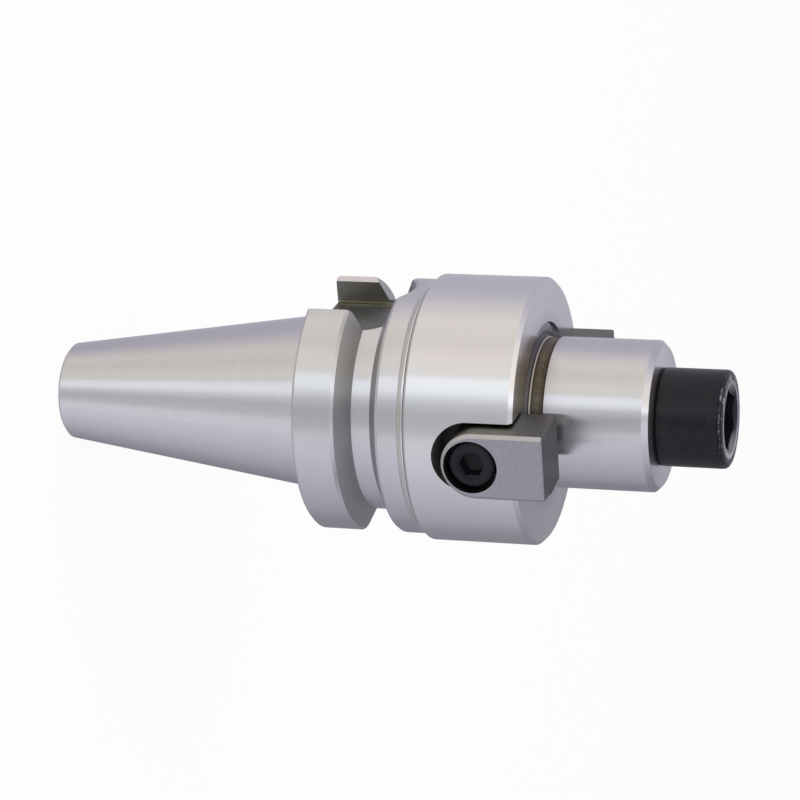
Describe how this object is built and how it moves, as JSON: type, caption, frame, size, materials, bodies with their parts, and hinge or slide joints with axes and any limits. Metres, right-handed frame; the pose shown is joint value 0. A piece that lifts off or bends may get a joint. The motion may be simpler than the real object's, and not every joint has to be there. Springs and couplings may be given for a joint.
{
  "type": "face mill arbor",
  "caption": "Steep-taper arbor for a milling spindle with a gripper flange, bolted drive keys, a round cutter pilot and a socket head clamp screw with its washer.",
  "frame": {"origin": "centre of the taper's gauge plane, on the axis", "axes": "+Z along the axis to the nose, +X through drive key 1, +Y through a flange slot"},
  "size_m": [0.0546, 0.048, 0.1244],
  "materials": {
    "ground_steel": "fine ground",
    "key_steel": "surface ground",
    "black_oxide": "black oxide, satin"
  },
  "bodies": {
    "arbor": {"arbor_body": "ground_steel", "drive_key_1": "key_steel", "drive_key_2": "key_steel", "key_screw_1": "black_oxide", "key_screw_2": "black_oxide"},
    "washer": {"clamp_washer": "black_oxide"},
    "screw": {"clamp_screw": "black_oxide"}
  },
  "joints": [
    {"name": "screw_travel", "type": "slide", "parent": "arbor", "child": "washer", "axis": [0, 0, 1], "range_m": [0, 0.028]},
    {"name": "screw_turn", "type": "hinge", "parent": "washer", "child": "screw", "pos_m": [0, 0, 0.0649], "axis": [0, 0, 1], "range_deg": [0, 5760]}
  ],
  "couplings": [
    {"joint": "screw_turn", "follows": "screw_travel", "rad_per_m": 3590.4}
  ]
}
